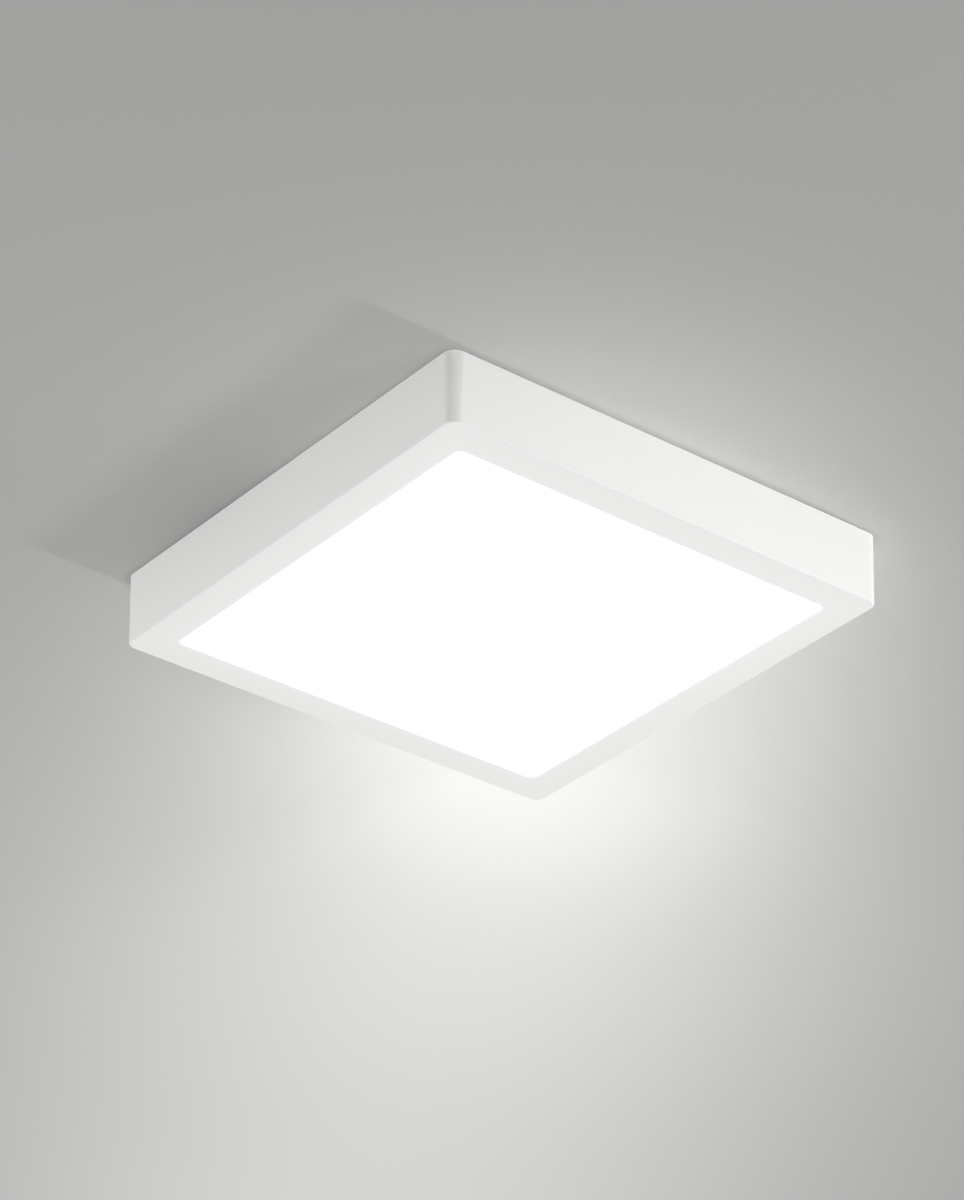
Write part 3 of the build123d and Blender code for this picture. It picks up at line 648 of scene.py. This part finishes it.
def metal(name, color, roughness, stretch):
    """Bright sheet or plated metal, with fine lines along its rolling direction."""
    return finish(
        name, color, roughness, stretch=stretch, tone=0.12, spread=0.16, bump=0.000004, Metallic=1.0
    )


def paint(material, *nodes):
    """Gives CAD nodes a finish."""
    for name in nodes:
        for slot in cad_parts[name].material_slots:
            slot.material = material


# Operators

class CEILING_LIGHT_OT_stage(bpy.types.Operator):
    """Ceiling, lamps, world and camera"""

    bl_idname = "ceiling_light.stage"
    bl_label = "Stage"

    def execute(self, context):
        settings = context.scene.ceiling_light_stage
        add_camera(settings)
        add_ceiling(settings)
        add_lamps(settings)
        add_world(settings)
        context.scene.view_settings.view_transform = "Standard"
        return {"FINISHED"}


def aim(piece, place, forward, roll=0.0):
    """Sets a camera or lamp at a place, looking along a direction and rolled about it."""
    forward = forward / np.linalg.norm(forward)
    level = np.cross(forward, (0.0, 0.0, 1.0))
    level /= np.linalg.norm(level)
    above = np.cross(level, forward)
    right = np.cos(roll) * level + np.sin(roll) * above
    up = np.cos(roll) * above - np.sin(roll) * level
    turn = np.eye(4)
    turn[:3] = np.column_stack([right, up, -forward, place])
    piece.matrix_world = Matrix(turn.tolist())


def add_camera(settings):
    """Camera on a sphere round the origin, pitched a little below it."""
    lens = bpy.data.cameras.new("camera")
    lens.lens = settings.lens
    lens.sensor_width = 36.0
    lens.sensor_fit = "AUTO"
    camera = bpy.data.objects.new("camera", lens)
    bpy.context.scene.collection.objects.link(camera)
    level = np.cos(settings.elevation)
    place = settings.distance * np.array(
        [np.sin(settings.azimuth) * level, -np.cos(settings.azimuth) * level, np.sin(settings.elevation)]
    )
    heading = np.arctan2(-place[1], -place[0]) + settings.swing
    flat = np.cos(settings.pitch)
    forward = np.array([np.cos(heading) * flat, np.sin(heading) * flat, np.sin(settings.pitch)])
    aim(camera, place, forward, settings.roll)
    bpy.context.scene.camera = camera


def ceiling_mesh():
    """Rounded square rings from the gasket's outline outwards: a quarter circle about each corner's centre.

    All rings have the same corner radius, so only the straight sides grow.
    """
    radius = GASKET_CORNER + CEILING_GAP
    quarters = np.arange(4)[:, None]
    angle = (quarters * np.pi / 2 + np.linspace(0.0, np.pi / 2, CEILING_CORNER_STEPS)).reshape(-1)
    centre = np.repeat((quarters + 0.5).reshape(-1) * np.pi / 2, CEILING_CORNER_STEPS)
    way = np.sign(np.stack([np.cos(centre), np.sin(centre)], -1))
    half = np.array([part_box("ceiling_gasket")[1][0] + CEILING_GAP, *CEILING_REACH])
    ring = (half - radius)[:, None, None] * way + radius * np.stack([np.cos(angle), np.sin(angle)], -1)
    points = np.concatenate([ring, np.zeros(ring.shape[:2] + (1,))], -1)
    mesh = bpy.data.meshes.new("ceiling")
    mesh.from_pydata(points.reshape(-1, 3).tolist(), [], grid_quads(*ring.shape[:2]).tolist())
    return mesh


def add_ceiling(settings):
    """Painted ceiling that faces down: grey, with soft glows and shades round the light.

    It is open inside the gasket's outline and its back is clear, so that the light's top shows. Only the
    camera sees the strip over the cover, so that the gap between the cover and the pan is lit from above.
    Far out, the ceiling fades into the surroundings.
    """
    mesh = ceiling_mesh()
    ceiling = bpy.data.objects.new("ceiling", mesh)
    bpy.context.scene.collection.objects.link(ceiling)

    material = finish("ceiling_paint", (settings.ceiling,) * 3, 0.9, stretch=400.0, bump=0.0001)
    mesh.materials.append(material)
    tree = material.node_tree
    shader = tree.nodes["Principled BSDF"]
    shader.inputs["Specular IOR Level"].default_value = 0.0
    turned = node(tree, "ShaderNodeMapping", Vector=coordinates(tree))
    turned.inputs["Rotation"].default_value = (0.0, 0.0, -settings.azimuth - settings.swing)
    total = settings.ceiling
    for middle, reach, height in CEILING_GLOWS:
        glow = placed(
            tree, glow_effect(), Vector=turned.outputs["Vector"], Middle=middle, Reach=reach, Height=height
        )
        total = calculate(tree, "ADD", glow.outputs["Value"], total)
    total = calculate(tree, "MINIMUM", total, CEILING_WHITE)
    shade = grey(tree, total, calculate(tree, "MULTIPLY", total, CEILING_BLUE))
    feed(tree, shader.inputs["Base Color"], shade)

    back = tree.nodes.new("ShaderNodeNewGeometry").outputs["Backfacing"]
    over = calculate(tree, "LESS_THAN", outline(tree, cad_high[0]), CEILING_GAP)
    seen = tree.nodes.new("ShaderNodeLightPath").outputs["Is Camera Ray"]
    unseen = calculate(tree, "MULTIPLY", over, calculate(tree, "SUBTRACT", 1.0, seen))
    fade = smooth_range(tree, outline(tree, 0.0), *CEILING_FADE)
    clear = tree.nodes.new("ShaderNodeBsdfTransparent")
    mix = tree.nodes.new("ShaderNodeMixShader")
    feed(tree, mix.inputs[0], calculate(tree, "MAXIMUM", fade, calculate(tree, "MAXIMUM", back, unseen)))
    feed(tree, mix.inputs[1], shader.outputs["BSDF"])
    feed(tree, mix.inputs[2], clear.outputs["BSDF"])
    feed(tree, tree.nodes["Material Output"].inputs["Surface"], mix.outputs["Shader"])


def add_lamps(settings):
    """Soft area lamps below the ceiling, each aimed at the light."""
    for name, (place, size) in LAMPS.items():
        light = bpy.data.lights.new(name, "AREA")
        light.shape = "ELLIPSE"
        light.size, light.size_y = size
        light.energy = getattr(settings, name)
        lamp = bpy.data.objects.new(name, light)
        lamp.visible_glossy = False
        lamp.visible_camera = False
        bpy.context.scene.collection.objects.link(lamp)
        aim(lamp, np.array(place), LAMP_TARGET - np.array(place))


def add_world(settings):
    """Pale surroundings with soft light from all round, less of it from below the near corner."""
    world = bpy.data.worlds.new("surroundings")
    bpy.context.scene.world = world
    world.use_nodes = True
    tree = world.node_tree
    background = tree.nodes["Background"]
    background.inputs["Color"].default_value = WORLD_COLOR
    way = calculate_vector(tree, "DOT_PRODUCT", coordinates(tree, "Generated"), DIM_SIDE)
    lost = calculate(tree, "MULTIPLY", smooth_range(tree, way, *DIM_RANGE), DIM_SHARE * settings.world)
    choice = tree.nodes.new("ShaderNodeMix")
    feed(tree, choice.inputs["Factor"], tree.nodes.new("ShaderNodeLightPath").outputs["Is Camera Ray"])
    feed(tree, choice.inputs["A"], calculate(tree, "SUBTRACT", settings.world, lost))
    feed(tree, choice.inputs["B"], BACKDROP)
    feed(tree, background.inputs["Strength"], choice.outputs["Result"])


class CEILING_LIGHT_OT_cover(bpy.types.Operator):
    """Powder-coated frame and lit opal dish"""

    bl_idname = "ceiling_light.cover"
    bl_label = "Cover"

    def execute(self, context):
        settings = context.scene.ceiling_light_cover
        powder = finish(
            "powder_coat",
            settings.powder,
            settings.powder_roughness,
            stretch=1.0 / settings.grain,
            tone=0.03,
            spread=0.12,
            bump=0.000012,
            Emission_Strength=1.0,
        )
        # Painted shade on the frame's lower round and upper sides, and painted light by the window
        painted_shade_and_light(powder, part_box("cover_frame")[0][2])
        paint(powder, "cover_frame")
        opal = finish(
            "opal",
            settings.opal,
            0.38,
            stretch=1600.0,
            tone=0.01,
            bump=0.000004,
            Emission_Strength=settings.glow,
        )
        tree = opal.node_tree
        above = height_above(tree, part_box("diffuser")[0][2])
        light_up(opal, smooth_range(tree, above, *PANE_LEVEL))
        paint(opal, "diffuser")
        return {"FINISHED"}


def painted_shade_and_light(powder, underside):
    """Painted shade on the lower round and near the ceiling; painted light of the dish on the border."""
    tree = powder.node_tree
    above = height_above(tree, underside)
    inside = calculate(tree, "SUBTRACT", UNDERSIDE_CORNER, outline(tree, UNDERSIDE_CORE))
    around = calculate(tree, "MAXIMUM", above, inside)
    # Painted shade: darker along the lower outer round
    darken(powder, smooth_range(tree, around, *EDGE_SHADE), EDGE_SHADE_SHARE)
    # Painted shade: the sides darker towards the ceiling
    darken(powder, smooth_range(tree, above, CEILING_SHADE_START, -underside), CEILING_SHADE_SHARE)

    # Painted light: emission on the border near the dish
    beyond = calculate(tree, "SUBTRACT", outline(tree, WINDOW_CORE), WINDOW_CORNER)
    rim = calculate(tree, "MULTIPLY", smooth_range(tree, beyond, RIM_LIGHT, 0.0), RIM_LIGHT_SHARE)
    border = calculate(tree, "MULTIPLY", smooth_range(tree, beyond, BORDER_LIGHT, 0.0), BORDER_LIGHT_SHARE)
    below = smooth_range(tree, above, *BORDER_LEVEL)
    light_up(powder, calculate(tree, "MULTIPLY", calculate(tree, "ADD", rim, border), below))


class CEILING_LIGHT_OT_seals(bpy.types.Operator):
    """Foam, silicone and rubber seals"""

    bl_idname = "ceiling_light.seals"
    bl_label = "Seals"

    def execute(self, context):
        foam = finish("foam", FOAM, 0.9, stretch=1400.0, tone=0.5, bump=0.00025)
        silicone = finish("silicone", SILICONE, 0.5, stretch=700.0, tone=0.06, bump=0.00001)
        rubber = finish("rubber", RUBBER, 0.62, stretch=900.0, tone=0.3, bump=0.00003)
        paint(foam, "ceiling_gasket")
        paint(silicone, "rim_seal", "diffuser_gasket")
        paint(rubber, "screw_seals", "cable_grommet")
        return {"FINISHED"}


class CEILING_LIGHT_OT_pan(bpy.types.Operator):
    """Painted pan, with its catches and its earth tab"""

    bl_idname = "ceiling_light.pan"
    bl_label = "Pan"

    def execute(self, context):
        settings = context.scene.ceiling_light_inside
        paint(finish("pan_paint", settings.pan, 0.45, stretch=700.0, bump=0.000012), "base_pan")
        paint(metal("catch_steel", CATCH_STEEL, 0.32, stretch=(300.0, 300.0, 3000.0)), "catch_plates")
        paint(metal("tab_brass", BRASS, 0.3, stretch=(400.0, 3000.0, 3000.0)), "earth_tab")
        paint(metal("receptacle_tin", TIN, 0.35, stretch=1200.0), "earth_receptacle")
        return {"FINISHED"}


class CEILING_LIGHT_OT_springs(bpy.types.Operator):
    """Leaf springs and dish clips of rolled steel"""

    bl_idname = "ceiling_light.springs"
    bl_label = "Springs"

    def execute(self, context):
        paint(metal("spring_steel", SPRING_STEEL, 0.26, stretch=(2600.0, 2600.0, 160.0)), "spring_clips")
        paint(metal("clip_steel", CLIP_STEEL, 0.3, stretch=(500.0, 2600.0, 500.0)), "diffuser_clips")
        return {"FINISHED"}


class CEILING_LIGHT_OT_boards(bpy.types.Operator):
    """LED boards, their LEDs and their connectors"""

    bl_idname = "ceiling_light.boards"
    bl_label = "Boards"

    def execute(self, context):
        settings = context.scene.ceiling_light_inside
        board = finish("solder_mask", settings.board, 0.35, stretch=900.0, tone=0.05, bump=0.000006)
        nylon = finish("nylon", NYLON, 0.48, stretch=1500.0, bump=0.00001)
        package = finish("led_package", LED_PACKAGE, 0.4, stretch=2500.0, bump=0.000004)
        phosphor = finish(
            "phosphor",
            settings.phosphor,
            0.5,
            stretch=4000.0,
            tone=0.15,
            bump=0.00001,
            Emission_Color=LED_LIGHT,
            Emission_Strength=1.0,
        )
        add_traces(board)
        paint(board, *("led_board_" + side for side in SIDES))
        paint(nylon, "board_links", "led_plug", "wire_clips")
        for side in SIDES:
            add_leds(side, [package, phosphor])
        return {"FINISHED"}


def add_traces(board):
    """Two faint traces under the solder mask, one on each side of the row of LEDs."""
    low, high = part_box("led_board_north")
    row = (low[1] + high[1]) / 2 - BOARD_CORE
    tree = board.node_tree
    aside = calculate(tree, "ABSOLUTE", calculate(tree, "SUBTRACT", outline(tree, BOARD_CORE), row))
    trace = calculate(tree, "ABSOLUTE", calculate(tree, "SUBTRACT", aside, TRACE_OFFSET))
    darken(board, smooth_range(tree, trace, *TRACE_EDGE), TRACE_SHARE)


def add_leds(side, materials):
    """LED packages on a board, evenly spaced between the ends of their CAD box and facing down."""
    name = "led_chips_" + side
    low, high = (np.array(corner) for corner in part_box(name))
    along = int(high[0] - low[0] < high[1] - low[1])
    half = LED_HALF[0]
    places = np.repeat((low + high)[None] / 2, LED_COUNT, 0)
    places[:, along] = np.linspace(low[along] + half, high[along] - half, LED_COUNT)
    places[:, 2] = high[2]
    turn = [[0.0, 1, 0], [1, 0, 0], [0, 0, -1]] if along else [[1.0, 0, 0], [0, -1, 0], [0, 0, -1]]
    shape = repeated(led_shape(), turn, places)
    rows = np.repeat(np.arange(len(LED_RINGS) - 1), LED_SIDES)
    parts = np.concatenate([rows >= LED_FACE_ROW, [False, True]])
    parts = np.tile(parts, LED_COUNT).astype(int)
    make_piece("leds_" + side, shape, materials, "base", [name], parts)


class CEILING_LIGHT_OT_driver(bpy.types.Operator):
    """Moulded driver case"""

    bl_idname = "ceiling_light.driver"
    bl_label = "Driver"

    def execute(self, context):
        settings = context.scene.ceiling_light_inside
        case = finish("driver_case", settings.driver, 0.55, stretch=1300.0, tone=0.04, bump=0.00003)
        paint(case, "driver_base", "driver_lid")
        return {"FINISHED"}


class CEILING_LIGHT_OT_terminal(bpy.types.Operator):
    """Terminal housing, contacts and levers"""

    bl_idname = "ceiling_light.terminal"
    bl_label = "Terminal"

    def execute(self, context):
        settings = context.scene.ceiling_light_inside
        housing = finish("terminal_housing", settings.terminal, 0.5, stretch=1300.0, bump=0.00002)
        lever = finish("lever", settings.lever, 0.32, stretch=1100.0, tone=0.2, bump=0.00001)
        contact = metal("contact_copper", COPPER, 0.3, stretch=(2600.0, 300.0, 2600.0))
        paint(housing, "terminal_block")
        paint(lever, *LEVERS)
        paint(contact, "terminal_contacts")
        return {"FINISHED"}


class CEILING_LIGHT_OT_wires(bpy.types.Operator):
    """Insulated wires and the twin lead"""

    bl_idname = "ceiling_light.wires"
    bl_label = "Wires"

    def execute(self, context):
        settings = context.scene.ceiling_light_inside
        section = WIRE * unit_circle(WIRE_SIDES)
        add_wire("live_wire", driver_route("live_wire", -POLE_PITCH), section, settings.live)
        add_wire("neutral_wire", driver_route("neutral_wire", 0.0), section, settings.neutral)
        sleeve = add_wire("earth_wire", earth_route(POLE_PITCH), section, settings.earth)
        above = height_above(sleeve.node_tree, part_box("earth_wire")[0][2])
        tint_over(sleeve, smooth_range(sleeve.node_tree, above, *STRIPE_EDGE), settings.stripe)
        add_wire("led_lead", lead_route(), twin_section(), settings.lead)
        return {"FINISHED"}


def terminal_end():
    """Level along Y where the wires end in the terminal."""
    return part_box("terminal_block")[0][1] + WIRE_SOCKET


def driver_route(name, pole):
    """From a pole out to the wire's lane, round the boards' inner corner and in to the driver."""
    low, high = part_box(name)
    lane_x, lane_y = low[0] + WIRE_FLAT, low[1] + WIRE_FLAT
    end = high[1] - WIRE_FLAT
    return (pole, terminal_end()), (pole, lane_y), (lane_x, lane_y), (lane_x, end), (high[0], end)


def earth_route(pole):
    """From a pole out to the lane and along it to the receptacle."""
    low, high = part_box("earth_wire")
    lane = low[1] + WIRE_FLAT
    return (pole, terminal_end()), (pole, lane), (high[0], lane)


def lead_route():
    """From the driver's end out, and then straight to the connector on the board."""
    low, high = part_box("led_lead")
    across, along = high[0] - LEAD_CORE, low[1] + LEAD_CORE
    return (low[0], along), (across, along), (across, high[1])


def add_wire(name, route, section, tint):
    """One wire in its own insulation, which is given back."""
    sleeve = finish(name + "_insulation", tint, 0.42, stretch=900.0, tone=0.12, bump=0.00001)
    low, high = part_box(name)
    shape = wire_shape(route, (low[2] + high[2]) / 2, section)
    make_piece("round_" + name, shape, [sleeve], "base", [name])
    return sleeve


class CEILING_LIGHT_OT_screws(bpy.types.Operator):
    """Screws and rivets"""

    bl_idname = "ceiling_light.screws"
    bl_label = "Screws and rivets"

    def execute(self, context):
        plated = metal("zinc_plate", ZINC, 0.3, stretch=1800.0)
        bright = metal("rivet_steel", RIVET_STEEL, 0.28, stretch=2200.0)
        add_screws("board_screws", board_screw_places(), "base", SHANK, plated)
        for name in ("driver_screws", "terminal_screws"):
            add_screws(name, corners_inside(name, HEAD_RADIUS), "base", SHANK, plated)
        low, high = corners_inside("diffuser_clip_screws", HEAD_RADIUS)
        corners = [(x, y) for x in (low[0], high[0]) for y in (low[1], high[1])]
        add_screws("diffuser_clip_screws", corners, "cover", CLIP_SHANK, plated, upwards=True)
        add_rivets(bright)
        return {"FINISHED"}


def corners_inside(name, radius):
    """Low and high plan corner of a node's box, moved in by a radius: the middles of round heads in them."""
    low, high = (np.array(corner)[:2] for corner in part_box(name))
    return low + radius, high - radius


def board_screw_places():
    """Two screws on each board, on the outer side of its LEDs."""
    places = []
    for side in SIDES:
        low, high = (np.array(corner)[:2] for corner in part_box("led_board_" + side))
        middle = (low + high) / 2
        along = int(high[0] - low[0] < high[1] - low[1])
        across = 1 - along
        reach = (high[along] - low[along]) / 2 - BOARD_SCREW_MARGIN
        for end in (-reach, reach):
            place = middle.copy()
            place[along] += end
            place[across] += np.sign(middle[across]) * BOARD_SCREW_OFFSET
            places.append(place)
    return places


def add_screws(name, places, body, shank, material, upwards=False):
    """Screws of one group, with their heads at the end of the box that they face."""
    low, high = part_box(name)
    turn = np.diag([1.0, 1.0, 1.0] if upwards else [1.0, -1.0, -1.0])
    seat = high[2] - HEAD_HEIGHT if upwards else low[2] + HEAD_HEIGHT
    shape = screw_shape(shank, high[2] - low[2] - HEAD_HEIGHT)
    shape = repeated(shape, turn, [(*place, seat) for place in places])
    make_piece("cross_" + name, shape, [material], body, [name])


def add_rivets(material):
    """One domed rivet in the foot of each leaf spring."""
    name = "spring_clip_rivets"
    low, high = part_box(name)
    reach = high[0] - RIVET_RADIUS
    seat = high[2] - RIVET_HEIGHT
    places = [(reach, 0.0, seat), (0.0, reach, seat), (-reach, 0.0, seat), (0.0, -reach, seat)]
    shape = repeated(rivet_shape(seat - low[2]), np.eye(3), places)
    make_piece("domed_rivets", shape, [material], "cover", [name])


class CEILING_LIGHT_PT_pieces(bpy.types.Panel):
    """Settings and pieces of the ceiling light"""

    bl_idname = "CEILING_LIGHT_PT_pieces"
    bl_label = "Ceiling Light"
    bl_space_type = "VIEW_3D"
    bl_region_type = "UI"
    bl_category = "Ceiling Light"

    def draw(self, context):
        scene = context.scene
        for group in (scene.ceiling_light_cover, scene.ceiling_light_inside, scene.ceiling_light_stage):
            box = self.layout.box()
            for setting in group.__annotations__:
                box.prop(group, setting)
        for operator in OPERATORS:
            self.layout.operator(operator.bl_idname)


OPERATORS = (
    CEILING_LIGHT_OT_stage,
    CEILING_LIGHT_OT_cover,
    CEILING_LIGHT_OT_seals,
    CEILING_LIGHT_OT_pan,
    CEILING_LIGHT_OT_springs,
    CEILING_LIGHT_OT_boards,
    CEILING_LIGHT_OT_driver,
    CEILING_LIGHT_OT_terminal,
    CEILING_LIGHT_OT_wires,
    CEILING_LIGHT_OT_screws,
)
SETTINGS = {
    "ceiling_light_cover": CoverSettings,
    "ceiling_light_inside": InsideSettings,
    "ceiling_light_stage": StageSettings,
}


def register():
    """Registers the settings, the operators and the panel."""
    for kind in (*SETTINGS.values(), *OPERATORS, CEILING_LIGHT_PT_pieces):
        bpy.utils.register_class(kind)
    for name, kind in SETTINGS.items():
        setattr(bpy.types.Scene, name, bpy.props.PointerProperty(type=kind))


def unregister():
    """Takes them out again."""
    for name in SETTINGS:
        delattr(bpy.types.Scene, name)
    for kind in (CEILING_LIGHT_PT_pieces, *reversed(OPERATORS), *SETTINGS.values()):
        bpy.utils.unregister_class(kind)


def main():
    """Builds the light on its stage."""
    register()
    bpy.ops.ceiling_light.stage()
    bpy.ops.ceiling_light.cover()
    bpy.ops.ceiling_light.seals()
    bpy.ops.ceiling_light.pan()
    bpy.ops.ceiling_light.springs()
    bpy.ops.ceiling_light.boards()
    bpy.ops.ceiling_light.driver()
    bpy.ops.ceiling_light.terminal()
    bpy.ops.ceiling_light.wires()
    bpy.ops.ceiling_light.screws()


if __name__ == "__main__":
    main()
